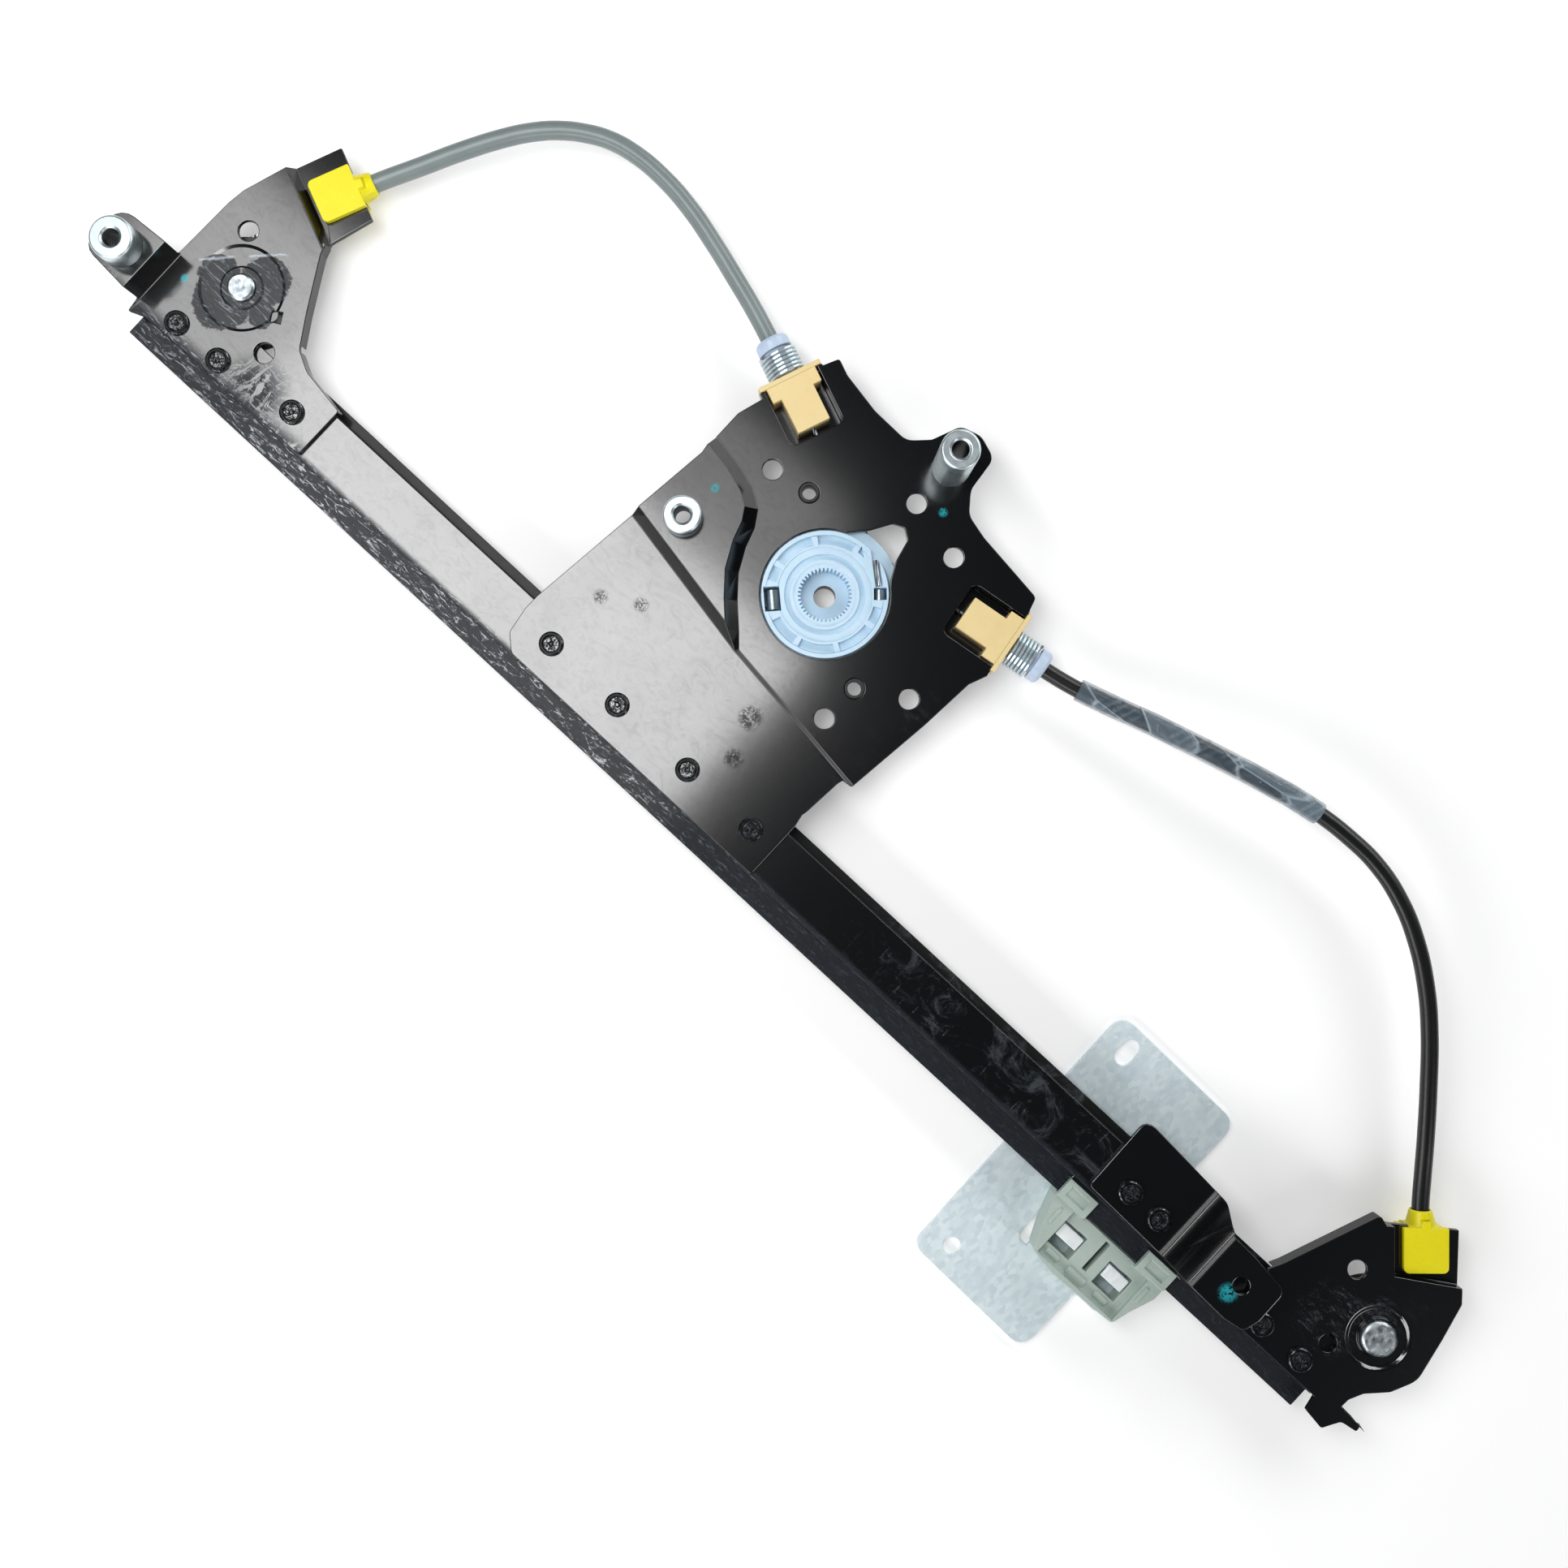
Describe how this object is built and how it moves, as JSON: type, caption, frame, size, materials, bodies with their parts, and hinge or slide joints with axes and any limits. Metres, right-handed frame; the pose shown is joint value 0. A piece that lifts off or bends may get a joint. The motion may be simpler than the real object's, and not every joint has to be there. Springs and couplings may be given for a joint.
{
  "type": "window regulator",
  "caption": "Cable window regulator with one guide rail, motor plate with cable drum, pulleys, conduits and a sliding lift plate for the door glass.",
  "frame": {"origin": "on the cable drum's axis, in the plane of the motor plate's drum field and the rail web's nut-side face", "axes": "+X along the rail towards its lower end in the door, +Y from the rail towards the motor, +Z towards the fixing nuts"},
  "size_m": [0.5591, 0.2104, 0.043],
  "materials": {
    "black_paint": "gloss, greased in places",
    "zinc_steel": "bright zinc plated",
    "zinc_sheet": "zinc plated sheet with spangle",
    "cable_steel": "stranded wire",
    "yellow_plastic": "satin gloss",
    "beige_plastic": "satin",
    "pale_nylon": "translucent gloss",
    "white_acetal": "satin",
    "grey_conduit": "semi-gloss",
    "black_conduit": "satin",
    "clear_film": "crinkled clear film",
    "shoe_plastic": "satin",
    "black_plastic": "satin"
  },
  "bodies": {
    "frame": {"guide_rail": "black_paint", "upper_bracket": "black_paint", "lower_bracket": "black_paint", "motor_plate": "black_paint", "lower_mount_bracket": "black_paint", "upper_bracket_rivets": "black_paint", "motor_plate_rivets": "black_paint", "mount_bracket_rivets": "black_paint", "lower_bracket_rivets": "black_paint", "upper_mount_nut": "zinc_steel", "middle_mount_nut": "zinc_steel", "outer_mount_nut": "zinc_steel", "upper_pulley_pin": "zinc_steel", "lower_pulley_pin": "zinc_steel", "upper_conduit_end": "yellow_plastic", "lower_conduit_end": "yellow_plastic", "upper_conduit": "grey_conduit", "lower_conduit": "black_conduit", "conduit_film": "clear_film", "upper_conduit_cap": "pale_nylon", "lower_conduit_cap": "pale_nylon", "upper_tension_spring": "zinc_steel", "lower_tension_spring": "zinc_steel", "upper_outlet_block": "beige_plastic", "lower_outlet_block": "beige_plastic", "upper_cable": "cable_steel", "lower_cable": "cable_steel", "drum_housing": "black_plastic"},
    "carrier": {"lift_plate": "zinc_sheet", "slider_shoe": "shoe_plastic", "shoe_cable_nipples": "zinc_steel"},
    "drum": {"cable_drum": "pale_nylon", "drum_cable_turns": "cable_steel", "drum_cable_nipples": "zinc_steel"},
    "upper_wheel": {"upper_pulley": "white_acetal"},
    "lower_wheel": {"lower_pulley": "white_acetal"}
  },
  "joints": [
    {"name": "lift", "type": "slide", "parent": "frame", "child": "carrier", "axis": [-1, 0, 0], "range_m": [-0.045, 0.375]},
    {"name": "drum_turn", "type": "hinge", "parent": "frame", "child": "drum", "pos_m": [0, 0, 0], "axis": [0, 0, 1], "range_deg": [-1035, 130]},
    {"name": "upper_pulley_turn", "type": "hinge", "parent": "frame", "child": "upper_wheel", "pos_m": [-0.2055, -0.0554, 0], "axis": [0, 0, 1], "range_deg": [-1320, 165]},
    {"name": "lower_pulley_turn", "type": "hinge", "parent": "frame", "child": "lower_wheel", "pos_m": [0.2945, -0.0554, 0], "axis": [0, 0, 1], "range_deg": [-1320, 165]}
  ],
  "couplings": [
    {"joint": "drum_turn", "follows": "lift", "rad_per_m": -47.619},
    {"joint": "upper_pulley_turn", "follows": "lift", "rad_per_m": -60.976},
    {"joint": "lower_pulley_turn", "follows": "lift", "rad_per_m": -60.976}
  ]
}
